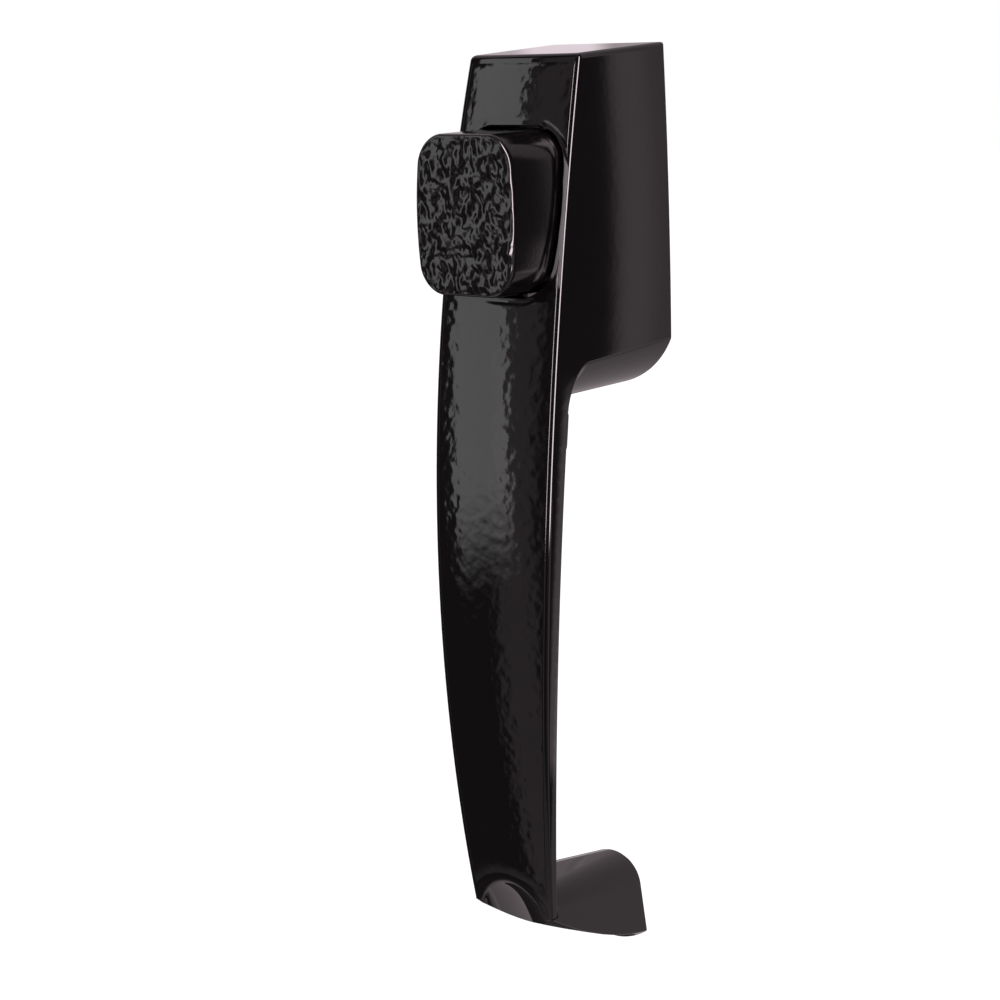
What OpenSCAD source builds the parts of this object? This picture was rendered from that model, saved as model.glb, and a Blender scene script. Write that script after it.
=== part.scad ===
// Push-button pull handle of a screen door latch: the half on the outside of the door.
// The door's face is the plane y = 0, the front faces -Y, and z = 0 is the button's axis.

/* [Front face] */
// Farthest reach of the front edges from the door
face_reach = 36.7; // [35:0.1:38]
// Depth of that farthest point below the button's axis
face_reach_drop = 69; // [64:1:74]
// Radius of the face's bow along its height
face_bow_r = 375; // [360:1:400]
// Rise of the face's middle over its side edges
face_crown = 0.9; // [0.5:0.1:1.4]

/* [Sides] */
// Half width at the door where the handle is widest
side_half_w = 14; // [13.8:0.1:15]
// Depth of the widest point below the button's axis
side_wide_drop = 31; // [28:1:36]
// Radius of the sides' bow along their height
side_bow_r = 1110; // [1100:10:1300]
// Draft of the side walls, narrower towards the front, in degrees
side_draft = 1.6; // [1:0.1:2]

/* [Case] */
// Height of the case's top edge at the door, above the button's axis
case_top = 28.1; // [27.6:0.1:31]
// Fall of the top face towards the front, in degrees
top_fall = 4; // [3:0.25:6]
// Depth of the case's rounded bottom below the button's axis
case_drop = 33.9; // [33:0.1:35]
// Radius of the rounded bottom
case_bottom_r = 15.2; // [14.5:0.1:15.8]
// Wall thickness of the case
case_wall = 2.2; // [1.8:0.1:2.4]

/* [Grip] */
// Thickness of the grip's side edges where the back reaches farthest
grip_edge_t = 2.9; // [2:0.1:4]
// Depth of that point below the face's farthest point
grip_back_lower = 11; // [4:1:14]
// Radius of the grip's back along its height, beyond the face's own radius
grip_back_extra_r = 50; // [0:5:70]
// Wall thickness of the grip's channel
grip_wall = 1.9; // [1.6:0.1:2.2]
// Radius of the hollow where the case's bottom runs into the grip
grip_fillet_r = 5; // [3:0.5:7]

/* [Foot] */
// Depth of the pad's top below the button's axis
foot_drop = 127; // [122:1:132]
// Height of the pad against the door
pad_h = 18.1; // [17.5:0.1:19]
// Half width of the pad at its lower corners
pad_half_w = 7.9; // [7.6:0.1:8.6]
// Radius of the pad's domed top
pad_dome_r = 6.5; // [5.5:0.1:7]
// Sag of the pad's lower edge between its corners
pad_sag = 3; // [2.6:0.1:3.4]
// Rise of the foot's back from the pad to the grip
foot_rise = 4.4; // [3.6:0.1:5]
// Drop from the pad's top to the front edge of the foot
foot_front_drop = 0.9; // [0.7:0.1:1.6]
// Bow of the foot's lower side edges
foot_edge_bow = 2.1; // [1:0.1:2.6]
// Sag of the foot's belly between those edges
foot_sag = 1.6; // [0.8:0.1:2]
// Wall thickness round the pad's pocket
foot_wall = 2; // [1.6:0.1:2.2]
// Depth of the pocket behind the pad
foot_pocket_d = 10; // [6:0.5:11]
// Radius of the scoop under the foot
scoop_r = 8.9; // [8.4:0.1:9.2]
// Rise of the scoop's arch over the front edge
scoop_rise = 5.8; // [4.6:0.1:6]
// Fall of the scoop towards the door, in degrees
scoop_fall = 62; // [56:1:66]

/* [Button] */
// Half width of the button
button_half_w = 10.6; // [9.6:0.1:10.8]
// Half height of the button
button_half_h = 13.6; // [12.5:0.1:13.9]
// Corner radius of the button
button_corner_r = 5; // [3.5:0.1:5.6]
// Radius of the button's bulged sides
button_side_r = 75; // [60:5:120]
// Distance of the button's face from the door at rest
button_reach = 42.8; // [41:0.1:45]
// Width of the bevel round the button's face
button_bevel = 1.1; // [0.6:0.1:1.6]
// Distance of the button's open back from the door at rest
button_back = 22; // [20:0.5:24]
// Wall thickness of the button's cap
button_wall = 2; // [1.6:0.1:2.4]
// Gap between the button and its well
button_gap = 0.85; // [0.4:0.05:0.9]
// Radius of the button's shank
shank_r = 4; // [3.8:0.1:4.4]
// Length of the shank beyond the door plane at rest
shank_past_door = 1; // [0.5:0.5:3]
// Running clearance of the shank in the guide hole
shank_clear = 0.08; // [0.04:0.01:0.1]

/* [Return spring] */
// Wire diameter of the return spring
spring_wire = 1; // [0.8:0.1:1.2]
// Gap between the spring's coils and the shank
spring_gap = 0.4; // [0.3:0.1:0.8]
// Open turns of the return spring
spring_turns = 8; // [6:1:10]
// Height of the collar that the spring bears on
spring_collar_h = 2.4; // [1:0.2:4]
// Room left between the spring's end and its seat
spring_seat_gap = 0.05; // [0.02:0.01:0.1]

/* [Retainer plate] */
// Thickness of the retainer plate
plate_t = 1.5; // [1.2:0.1:2]
// Depth of the plate's door side below the door plane
plate_depth = 2.9; // [2.6:0.1:4]
// Half width of the plate
plate_half_w = 9.6; // [9:0.1:10]
// Corner radius of the plate
plate_corner_r = 2; // [1:0.1:2.4]
// Gap between the plate and the mounting bosses
plate_gap = 0.35; // [0.3:0.05:0.6]

/* [Fasteners] */
// Spacing of the two mounting screws, which is 1 3/4 inches
mount_spacing = 44.45; // [44.45:0.01:46]
// Radius of the tapped mounting holes
mount_hole_r = 1.75; // [1.6:0.05:2.1]
// Depth of the tapped mounting holes
mount_hole_d = 14; // [10:1:18]
// Radius of the mounting bosses
boss_r = 4; // [3.6:0.1:4.2]
// Radius of the posts under the plate
post_r = 2.5; // [2.3:0.1:2.6]
// Distance of the posts from the middle plane
post_x = 7.4; // [7:0.1:7.6]
// Distance of the posts from the button's axis
post_z = 19.6; // [19.4:0.1:20]
// Radius of the plate screws
plate_screw_r = 1.4; // [1.2:0.1:1.5]
// Clearance of the plate screws in their posts
plate_screw_clear = 0.05; // [0.03:0.01:0.1]
// Length of the plate screws under the head
plate_screw_l = 8; // [6:0.5:10]
// Radius of the plate screws' heads
plate_screw_head_r = 2.6; // [2.2:0.1:2.8]
// Height of the plate screws' heads
plate_screw_head_h = 1.8; // [1.4:0.1:2]

/* [Adjusting screw] */
// Radius of the adjusting screw
adjuster_r = 2.5; // [2:0.1:2.6]
// Running clearance of the adjusting screw in the shank
adjuster_clear = 0.05; // [0.03:0.01:0.1]
// Length of the adjusting screw
adjuster_l = 26; // [20:1:30]
// Length of the adjusting screw that stands out of the shank
adjuster_out = 10; // [6:0.5:12]
// Travel of the adjusting screw either way
adjuster_travel = 4; // [2:0.5:5]

/* [Retaining ring] */
// Thickness of the retaining ring
ring_t = 0.9; // [0.7:0.1:1.1]
// Outer radius of the retaining ring
ring_r = 6.4; // [6:0.1:7]
// Depth of the ring's groove in the shank
ring_groove_d = 0.9; // [0.7:0.1:1]
// Clearance of the ring, along and across
ring_clear = 0.05; // [0.03:0.01:0.1]
// Half width of the ring's open mouth
ring_mouth = 2.2; // [1.8:0.1:2.6]

/* [Hidden] */
$fn = 96;
big_fn = 720;

enamel = "#1d1a1c";
zinc_plate = "#b9bcc0";
spring_steel = "#8d9095";

eps = 0.01;
far = 60;
face_cy = face_bow_r - face_reach;
face_crown_r = (pow(side_half_w, 2) + pow(face_crown, 2)) / (2 * face_crown);
grip_back_r = face_bow_r + grip_back_extra_r;
grip_back_drop = face_reach_drop + grip_back_lower;
grip_back_cy = grip_back_r - (face_reach - grip_edge_t);
case_bottom_cz = case_bottom_r - case_drop;
foot_bottom = foot_drop + pad_h;
foot_front_z = -(foot_drop + foot_front_drop);
foot_front_w = side_x(face_y(foot_front_z), foot_front_z);
foot_front_r = 0.7 * (-foot_drop + foot_rise - foot_front_z);
foot_front_y = face_y(foot_front_z) - face_crown;
foot_gap = 0.02;
foot_steps = 14;
foot_rings = 8;
foot_pocket_taper = 1.2;
belly_crown_r = (pow(pad_half_w, 2) + pow(pad_sag, 2)) / (2 * pad_sag);
plate_y = -plate_depth - plate_t;
plate_half_h = mount_spacing / 2;
ring_y = -plate_depth + ring_clear;
spring_r = shank_r + spring_gap + spring_wire / 2;
spring_front = -button_reach + button_wall + spring_collar_h;
slot_w = 0.9;
slot_d = 1.4;

// Distance of a bowed surface from the door at a height
function bow_y(cy, r, drop, z) = cy - sqrt(pow(r, 2) - pow(z + drop, 2));
// The front edges and the grip's back edges
function face_y(z) = bow_y(face_cy, face_bow_r, face_reach_drop, z);
function grip_back_y(z) = bow_y(grip_back_cy, grip_back_r, grip_back_drop, z);
// Half width of the drafted sides at a place
function side_x(y, z) =
    side_half_w - side_bow_r + sqrt(pow(side_bow_r, 2) - pow(z + side_wide_drop, 2)) + y * tan(side_draft);

// A profile in the YZ plane, drawn out along X
module along_x(width) {
    rotate([90, 0, 90])
        linear_extrude(width, center = true)
            children();
}

// A profile in the XZ plane, drawn out from one depth to another
module along_y(front, back) {
    translate([0, back, 0])
        rotate([90, 0, 0])
            linear_extrude(back - front)
                children();
}

// A cylinder or tube end along Y, at a place in the XZ plane
module rod_y(r, front, back, x = 0, z = 0) {
    translate([x, back, z])
        rotate([90, 0, 0])
            cylinder(r = r, h = back - front);
}

// A rectangle with round corners, made of whole circles
module round_rect(half_w, half_h, r) {
    square([2 * half_w, 2 * (half_h - r)], center = true);
    square([2 * (half_w - r), 2 * half_h], center = true);
    for (sx = [-1, 1], sz = [-1, 1])
        translate([sx * (half_w - r), sz * (half_h - r)])
            circle(r);
}

// Everything behind the crowned and bowed front face, set back by an inset
module behind_face(inset = 0) {
    span = 40;
    depth = 70;
    r = face_bow_r + face_crown - inset;
    translate([0, face_cy, -face_reach_drop])
        rotate([0, 90, 0])
            rotate([0, 0, -90 - span / 2])
                rotate_extrude(angle = span, $fn = big_fn)
                    intersection() {
                        translate([r - face_crown_r, 0])
                            circle(face_crown_r, $fn = big_fn);
                        translate([face_bow_r - depth, -far / 2])
                            square([depth + face_crown, far]);
                    }
}

// Everything between the two bowed and drafted sides, set in by an inset
module between_sides(inset = 0) {
    intersection_for(side = [0, 1])
        mirror([side, 0, 0])
            translate([side_half_w - inset, 0, -side_wide_drop])
                rotate([0, 0, -side_draft])
                    translate([-side_bow_r, 0, 0])
                        rotate([90, 0, 0])
                            cylinder(r = side_bow_r, h = 4 * far, center = true, $fn = big_fn);
}

// Everything under the sloping top face, down to the rounded bottom, set in by an inset
module case_outline_solid(inset = 0) {
    intersection() {
        along_x(far)
            polygon([
                [0, case_top - inset],
                [0, -case_drop],
                [-far, -case_drop],
                [-far, case_top - inset - far * tan(top_fall)]
            ]);
        along_y(-far, 0)
            union() {
                translate([-far / 2, case_bottom_cz])
                    square([far, far]);
                translate([0, case_bottom_cz])
                    circle(case_bottom_r - inset);
            }
    }
}

module case_block() {
    intersection() {
        behind_face();
        between_sides();
        case_outline_solid();
    }
}

// The hollow corner that follows the case's round bottom into the grip
module grip_fillet() {
    back = grip_back_y(-case_drop - grip_fillet_r / 2);
    intersection() {
        behind_face();
        between_sides();
        translate([0, 0, case_bottom_cz])
            rotate([90, 0, 0])
                rotate([0, 0, 180])
                    rotate_extrude(angle = 180)
                        difference() {
                            translate([case_bottom_r - 1, -back - grip_fillet_r])
                                square([grip_fillet_r + 1, grip_fillet_r + 1]);
                            translate([case_bottom_r + grip_fillet_r, -back - grip_fillet_r])
                                circle(grip_fillet_r);
                        }
    }
}

module grip_bar() {
    intersection() {
        behind_face();
        between_sides();
        along_x(far)
            difference() {
                translate([-far, foot_front_z])
                    square([far, -foot_front_z - case_drop + case_bottom_r]);
                translate([grip_back_cy, -grip_back_drop])
                    circle(grip_back_r, $fn = big_fn);
            }
    }
}

// The channel along the grip's back, which leaves an even wall
module grip_channel() {
    top = -case_drop - grip_fillet_r;
    bottom = -foot_drop + foot_rise + grip_wall;
    intersection() {
        behind_face(grip_wall);
        between_sides(grip_wall);
        translate([-far / 2, -far, bottom])
            cube([far, far, top - bottom]);
    }
}

// The pad's outline on the door: a domed top, splayed sides and a bowed lower edge
module pad_outline(inset = 0) {
    half_w = pad_half_w - inset;
    intersection() {
        hull() {
            translate([0, -foot_drop - pad_dome_r])
                circle(pad_dome_r - inset, $fn = 64);
            translate([-half_w, -foot_bottom])
                square([2 * half_w, pad_sag]);
        }
        translate([0, -foot_bottom + belly_crown_r])
            circle(belly_crown_r - inset);
    }
}

// A value between the door (t = 0) and the front face (t = 1)
function blend(door, front, t) = door + (front - door) * t;

// The foot's outline at one place between the door and the front face
function foot_ring(t) =
    let (
        w = blend(pad_half_w, foot_front_w, t),
        low = blend(-foot_bottom + pad_sag, foot_front_z, t) - 4 * foot_edge_bow * t * (1 - t),
        sag = foot_sag * pow(t, 2) + pad_sag * pow(1 - t, 6),
        r = blend(pad_dome_r, foot_front_r, t),
        cx = blend(0, foot_front_w - foot_front_r, t),
        cz = blend(-foot_drop, -foot_drop + foot_rise, t) - r,
        splay = acos(r / norm([w - cx, low - cz])) + atan2(low - cz, w - cx),
        y = foot_front_y * t
    )
    concat(
        [for (i = [0:foot_steps]) let (u = 2 * i / foot_steps - 1) [w * u, y, low - sag * (1 - u * u)]],
        [
            for (i = [0:foot_steps])
                let (a = splay + (90 - splay) * i / foot_steps)
                    [cx + r * cos(a), y, cz + r * sin(a)]
        ],
        [
            for (i = [0:foot_steps])
                let (a = 90 + (90 - splay) * i / foot_steps)
                    [-cx - foot_gap + r * cos(a), y, cz + r * sin(a)]
        ]
    );

// The foot from the pad to the front face, with a domed back and a bowed belly
module foot_block() {
    n = 3 * (foot_steps + 1);
    points = [for (k = [0:foot_rings]) each foot_ring(k / foot_rings)];
    walls = [
        for (k = [0:foot_rings - 1], i = [0:n - 1])
            let (j = (i + 1) % n)
                each [
                    [k * n + i, (k + 1) * n + j, k * n + j],
                    [k * n + i, (k + 1) * n + i, (k + 1) * n + j]
                ]
    ];
    door_end = [for (i = [0:n - 1]) i];
    front_end = [for (i = [0:n - 1]) foot_rings * n + n - 1 - i];
    intersection() {
        behind_face();
        polyhedron(points, concat(walls, [door_end, front_end]));
    }
}

module foot_pocket() {
    end_inset = foot_wall + foot_pocket_taper;
    hull() {
        along_y(-eps, eps)
            pad_outline(foot_wall);
        along_y(-foot_pocket_d, -foot_pocket_d + eps)
            translate([0, foot_rise / 2])
                pad_outline(end_inset);
    }
}

// The steep scoop that leaves an arch in the foot's front edge
module foot_scoop() {
    top = foot_front_z + scoop_rise;
    steps = 64;
    translate([0, face_y(top) - face_crown, top])
        rotate([90 - scoop_fall, 0, 0])
            linear_extrude(far, center = true)
                polygon([
                    for (i = [0:steps - 1])
                        let (a = 360 * i / steps)
                            [scoop_r * cos(a), scoop_r * cos(scoop_fall) * (sin(a) - 1)]
                ]);
}

// The room for the button and the works
module case_cavity() {
    intersection() {
        behind_face(case_wall);
        between_sides(case_wall);
        case_outline_solid(case_wall);
    }
    along_y(-far, eps)
        button_outline(button_gap);
}

module bosses_and_posts() {
    intersection() {
        case_block();
        union() {
            for (end = [-1, 1]) {
                rod_y(boss_r, -far, 0, 0, end * mount_spacing / 2);
                for (side = [-1, 1])
                    rod_y(post_r, -far, plate_y, side * post_x, end * post_z);
            }
        }
    }
}

module handle_body() {
    color(enamel)
        difference() {
            union() {
                difference() {
                    union() {
                        case_block();
                        grip_fillet();
                        grip_bar();
                        foot_block();
                    }
                    case_cavity();
                    grip_channel();
                    foot_pocket();
                    foot_scoop();
                }
                bosses_and_posts();
            }
            for (end = [-1, 1])
                rod_y(mount_hole_r, -mount_hole_d, eps, 0, end * mount_spacing / 2);
            for (end = [-1, 1])
                rod_y(
                    plate_screw_r + plate_screw_clear,
                    plate_y - plate_screw_l,
                    plate_y + eps,
                    -end * post_x,
                    end * post_z
                );
        }
}

// The button's outline with bulged sides, grown by a margin
module button_outline(margin = 0) {
    intersection() {
        round_rect(button_half_w + margin, button_half_h + margin, button_corner_r + margin);
        intersection_for(side = [-1, 1])
            translate([side * (button_side_r - button_half_w), 0])
                circle(button_side_r + margin, $fn = 360);
    }
}

module button_cap() {
    face = -button_reach;
    difference() {
        union() {
            along_y(face + button_bevel, -button_back)
                button_outline();
            hull() {
                along_y(face + button_bevel - eps, face + button_bevel)
                    button_outline($fn = 32);
                along_y(face, face + eps)
                    button_outline(-button_bevel, $fn = 32);
            }
        }
        along_y(face + button_wall, -button_back + eps)
            button_outline(-button_wall);
    }
}

module push_button() {
    face = -button_reach;
    groove_back = ring_y + ring_t + ring_clear;
    color(enamel)
        difference() {
            union() {
                button_cap();
                rod_y(shank_r, face + button_wall - eps, shank_past_door);
                rod_y(spring_r + spring_wire / 2, face + button_wall - eps, spring_front);
            }
            difference() {
                rod_y(shank_r + 1, ring_y - ring_clear, groove_back);
                rod_y(shank_r - ring_groove_d, ring_y - 1, groove_back + 1);
            }
            rod_y(
                adjuster_r + adjuster_clear,
                shank_past_door - (adjuster_l - adjuster_out) - adjuster_travel - 1,
                shank_past_door + eps
            );
        }
}

// Points of a round wire along a list of centres, with the frame of the helix at each
function wire_ring(angle, y, r, sides) = [
    for (i = [0:sides - 1])
        let (a = 360 * i / sides, radial = r + spring_wire / 2 * cos(a))
            [radial * cos(angle), y + spring_wire / 2 * sin(a), radial * sin(angle)]
];

// Height along the spring at a turn: flat at both ends, open between them
function spring_rise(turn, pitch) =
    turn < 1 ? spring_wire * turn
    : turn < 1 + spring_turns ? spring_wire + pitch * (turn - 1)
    : spring_wire + pitch * spring_turns + spring_wire * (turn - 1 - spring_turns);

module return_spring() {
    sides = 8;
    steps = 18;
    front = spring_front + spring_seat_gap + spring_wire / 2;
    back = plate_y - spring_seat_gap - spring_wire / 2;
    pitch = (back - front - 2 * spring_wire) / spring_turns;
    rings = steps * (spring_turns + 2);
    points = [
        for (k = [0:rings])
            each wire_ring(360 * k / steps, front + spring_rise(k / steps, pitch), spring_r, sides)
    ];
    walls = [
        for (k = [0:rings - 1], i = [0:sides - 1])
            let (j = (i + 1) % sides)
                each [
                    [k * sides + i, k * sides + j, (k + 1) * sides + j],
                    [k * sides + i, (k + 1) * sides + j, (k + 1) * sides + i]
                ]
    ];
    first = [for (i = [0:sides - 1]) sides - 1 - i];
    last = [for (i = [0:sides - 1]) rings * sides + i];
    color(spring_steel)
        polyhedron(points, concat(walls, [first, last]));
}

module retainer_plate() {
    color(zinc_plate)
        difference() {
            along_y(plate_y, -plate_depth)
                round_rect(plate_half_w, plate_half_h, plate_corner_r);
            rod_y(shank_r + shank_clear, plate_y - 1, -plate_depth + 1);
            for (end = [-1, 1]) {
                rod_y(boss_r + plate_gap, plate_y - 1, -plate_depth + 1, 0, end * mount_spacing / 2);
                for (side = [-1, 1])
                    rod_y(plate_screw_r + plate_gap, plate_y - 1, -plate_depth + 1, side * post_x, end * post_z);
            }
        }
}

// A pan-head screw that holds the plate, with a slot across its head
module plate_screw(x, z) {
    color(zinc_plate)
        difference() {
            union() {
                rod_y(plate_screw_r, -plate_depth - plate_screw_l, -plate_depth, x, z);
                rod_y(plate_screw_head_r, -plate_depth, -plate_depth + plate_screw_head_h, x, z);
            }
            translate([x, -plate_depth + plate_screw_head_h, z])
                cube([far, plate_screw_head_h, slot_w], center = true);
        }
}

module plate_screw_upper() {
    plate_screw(-post_x, post_z);
}

module plate_screw_lower() {
    plate_screw(post_x, -post_z);
}

// A snap ring with an open mouth, in the shank's groove
module retaining_ring() {
    groove_r = shank_r - ring_groove_d + ring_clear;
    color(spring_steel)
        difference() {
            rod_y(ring_r, ring_y, ring_y + ring_t);
            rod_y(groove_r, ring_y - 1, ring_y + ring_t + 1);
            translate([-ring_mouth, ring_y - 1, 0])
                cube([2 * ring_mouth, ring_t + 2, far]);
        }
}

module adjusting_screw() {
    back = shank_past_door + adjuster_out;
    color(zinc_plate)
        difference() {
            rod_y(adjuster_r, back - adjuster_l, back);
            translate([0, back, 0])
                cube([far, 2 * slot_d, slot_w], center = true);
        }
}

handle_body();
push_button();
return_spring();
retainer_plate();
plate_screw_upper();
plate_screw_lower();
retaining_ring();
adjusting_screw();
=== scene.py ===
import math

import bpy
from mathutils import Matrix, Quaternion, Vector


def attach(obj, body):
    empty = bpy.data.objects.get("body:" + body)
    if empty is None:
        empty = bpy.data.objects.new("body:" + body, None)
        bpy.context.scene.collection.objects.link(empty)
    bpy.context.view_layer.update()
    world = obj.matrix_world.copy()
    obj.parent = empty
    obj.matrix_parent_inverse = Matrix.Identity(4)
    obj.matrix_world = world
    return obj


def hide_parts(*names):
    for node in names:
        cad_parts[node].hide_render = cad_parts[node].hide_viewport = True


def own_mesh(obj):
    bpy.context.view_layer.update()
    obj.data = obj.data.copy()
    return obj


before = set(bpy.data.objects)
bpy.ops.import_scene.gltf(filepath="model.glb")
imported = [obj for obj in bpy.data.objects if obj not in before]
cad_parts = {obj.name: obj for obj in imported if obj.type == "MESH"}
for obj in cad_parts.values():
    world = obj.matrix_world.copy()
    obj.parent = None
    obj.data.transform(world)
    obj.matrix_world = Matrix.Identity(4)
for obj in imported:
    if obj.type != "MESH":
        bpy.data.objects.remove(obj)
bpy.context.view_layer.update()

mm = 0.001  # the scene is in metres, and the sizes of its pieces below are in millimetres
closingRounds = 3  # of finding a place where two bowed surfaces meet


# Small helpers for working as in the viewport

def objectMode():
    if bpy.context.mode != "OBJECT":
        bpy.ops.object.mode_set(mode="OBJECT")


def pick(*pieces):
    objectMode()
    bpy.ops.object.select_all(action="DESELECT")
    for piece in pieces:
        piece.select_set(True)
    bpy.context.view_layer.objects.active = pieces[-1]


def settle(name):
    # The new primitive takes its name, and its place goes into its mesh
    piece = bpy.context.view_layer.objects.active
    piece.name = name
    piece.data.name = name
    bpy.ops.object.transform_apply(location=True, rotation=True, scale=True)
    return piece


def startClean():
    objectMode()
    bpy.ops.object.select_all(action="DESELECT")


def shape(piece, place):
    # Moves each point to where the object's bowed surfaces lie
    for vert in piece.data.vertices:
        vert.co = Vector(place(*(vert.co / mm))) * mm
    piece.data.update()


def startSelecting(piece, kind):
    # Leaves the piece in edit mode with none of its points or edges selected
    pick(piece)
    bpy.ops.object.mode_set(mode="EDIT")
    bpy.ops.mesh.select_mode(type=kind)
    bpy.ops.mesh.select_all(action="DESELECT")


def selectEdges(piece, test):
    # Selects edges by the place of their two ends, and leaves the piece in edit mode
    startSelecting(piece, "EDGE")
    objectMode()
    verts = piece.data.vertices
    for edge in piece.data.edges:
        edge.select = test(*(verts[i].co / mm for i in edge.vertices))
    bpy.ops.object.mode_set(mode="EDIT")


def faceOutwards(piece, merge=0.001):
    pick(piece)
    bpy.ops.object.mode_set(mode="EDIT")
    bpy.ops.mesh.select_all(action="SELECT")
    bpy.ops.mesh.remove_doubles(threshold=merge * mm)
    bpy.ops.mesh.normals_make_consistent(inside=False)
    objectMode()


def applyModifiers(piece):
    pick(piece)
    for modifier in list(piece.modifiers):
        bpy.ops.object.modifier_apply(modifier=modifier.name)


def smoothUnder(piece, angle):
    # Shades the piece smooth, apart from edges sharper than an angle in degrees
    pick(piece)
    bpy.ops.object.shade_smooth_by_angle(angle=math.radians(angle))


def combine(piece, tool, operation="DIFFERENCE"):
    cut = piece.modifiers.new("combine", "BOOLEAN")
    cut.operation = operation
    cut.solver = "EXACT"
    cut.object = tool
    applyModifiers(piece)
    bpy.data.objects.remove(tool)


def rod(name, radius, front, back, x=0, z=0, sides=48):
    # A round bar along Y
    startClean()
    bpy.ops.mesh.primitive_cylinder_add(
        vertices=sides, radius=radius * mm, depth=(back - front) * mm,
        location=(x * mm, (front + back) / 2 * mm, z * mm), rotation=(math.pi / 2, 0, 0))
    return settle(name)


def uprightGrid(name, columns, rows, drawnOut=0):
    # A sheet from -1 to 1 across and up, drawn out along Y by this much
    startClean()
    bpy.ops.mesh.primitive_grid_add(
        x_subdivisions=columns, y_subdivisions=rows, size=2 * mm, rotation=(math.pi / 2, 0, 0))
    sheet = settle(name)
    if drawnOut:
        bpy.ops.object.mode_set(mode="EDIT")
        bpy.ops.mesh.select_all(action="SELECT")
        bpy.ops.mesh.extrude_region_move(
            TRANSFORM_OT_translate={"value": (0, drawnOut * mm, 0)})
        objectMode()
    return sheet


# The handle's outer surfaces

handleShape = {
    "faceReach": 36.7,       # farthest reach of the face's side edges
    "faceReachDrop": 69.0,   # and how far below the button's axis that is
    "faceBow": 375.0,        # radius of the bow along the height
    "faceCrown": 0.9,        # rise of the middle over the side edges
    "crownLimit": 30,        # distance from the middle beyond which the crown falls no further
    "halfWidth": 14.0,       # at the door, where the handle is widest
    "wideDrop": 31.0,
    "sideBow": 1110.0,
    "sideDraft": 1.6,        # degrees
    "top": 28.1,
    "topFall": 4.0,          # degrees
    "bottom": -127.9,        # lower end of the face
    "caseRound": 15.2,       # radius of the case's rounded bottom
    "caseRoundZ": -18.7,
    "caseWall": 2.2,
    "gripBackReach": 33.8,
    "gripBackDrop": 80.0,
    "gripBackBow": 425.0,
    "gripFillet": 5.0,
    "gripWall": 1.9,
    "rows": 52,
    "columns": 20,
    "merge": 0.02,           # corners of the casting closer than this become one
    "smooth": 36,            # degrees
}


def frontY(x, z):
    # The crowned face is a ring surface: a wide arc across, carried along the bow
    s = handleShape
    across = (s["halfWidth"] ** 2 + s["faceCrown"] ** 2) / (2 * s["faceCrown"])
    ring = s["faceBow"] + s["faceCrown"] - across
    radius = ring + math.sqrt(across ** 2 - min(abs(x), s["crownLimit"]) ** 2)
    bow = math.sqrt(radius ** 2 - (z + s["faceReachDrop"]) ** 2)
    return s["faceBow"] - s["faceReach"] - bow


def gripBackY(z):
    s = handleShape
    bow = math.sqrt(s["gripBackBow"] ** 2 - (z + s["gripBackDrop"]) ** 2)
    return s["gripBackBow"] - s["gripBackReach"] - bow


def sideX(y, z):
    s = handleShape
    bow = math.sqrt(s["sideBow"] ** 2 - (z + s["wideDrop"]) ** 2) - s["sideBow"]
    return s["halfWidth"] + bow + y * math.tan(math.radians(s["sideDraft"]))


def topZ(y):
    return handleShape["top"] + y * math.tan(math.radians(handleShape["topFall"]))


def frontPlace(across, up, inset, bottom):
    # A place on the face: across and up run from -1 to 1
    y = -handleShape["faceReach"]
    for again in range(closingRounds):
        z = bottom + (topZ(y) - inset - bottom) * (up + 1) / 2
        x = across * (sideX(y, z) - inset)
        y = frontY(x, z) + inset
    return x, y, z


def makeBlock(name, inset, bottom, back, rows, columns):
    # An upright sheet drawn out backwards, then bowed, crowned and drafted
    block = uprightGrid(name, columns, rows, 1)

    def place(across, depth, up):
        x, y, z = frontPlace(across, up, inset, bottom)
        if depth < 0.5:
            return x, y, z
        z = bottom + (topZ(back) - inset - bottom) * (up + 1) / 2
        return across * (sideX(back, z) - inset), back, z

    shape(block, place)
    faceOutwards(block)
    return block


# The room behind the grip

gapShape = {
    "bottom": -146,
    "width": 56,
    "depth": 60,
    "troughFront": -5,       # the trough runs out of the block at both ends
    "troughBack": 65,
    "troughSides": 120,
    "filletSegments": 8,
    "levels": 30,            # cuts that let the block follow the grip's bow
    "topLevel": -40.2,
    "levelStep": 2.94,
}


def makeGapCutter():
    # A block with a trough for the case's round bottom
    s, g = handleShape, gapShape
    radius, middle = s["caseRound"], s["caseRoundZ"]
    startClean()
    bpy.ops.mesh.primitive_cube_add(
        size=1, location=(0, g["depth"] / 2 * mm, (g["bottom"] + middle) / 2 * mm),
        scale=(g["width"] * mm, g["depth"] * mm, (middle - g["bottom"]) * mm))
    cutter = settle("gapCutter")
    combine(cutter, rod(
        "caseBottom", radius, g["troughFront"], g["troughBack"], 0, middle, g["troughSides"]))

    def onTrough(*ends):
        return all(
            abs(end.y) < 0.01 and abs(math.hypot(end.x, end.z - middle) - radius) < 0.02
            for end in ends)

    selectEdges(cutter, onTrough)
    bpy.ops.mesh.bevel(
        offset=s["gripFillet"] * mm, segments=g["filletSegments"], affect="EDGES",
        clamp_overlap=False)
    for level in range(g["levels"]):
        bpy.ops.mesh.select_all(action="SELECT")
        bpy.ops.mesh.bisect(
            plane_co=(0, 0, (g["topLevel"] - g["levelStep"] * level) * mm), plane_no=(0, 0, 1))
    objectMode()
    shape(cutter, lambda x, y, z: (x, y + gripBackY(z), z))
    faceOutwards(cutter)
    return cutter


# The foot

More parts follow.
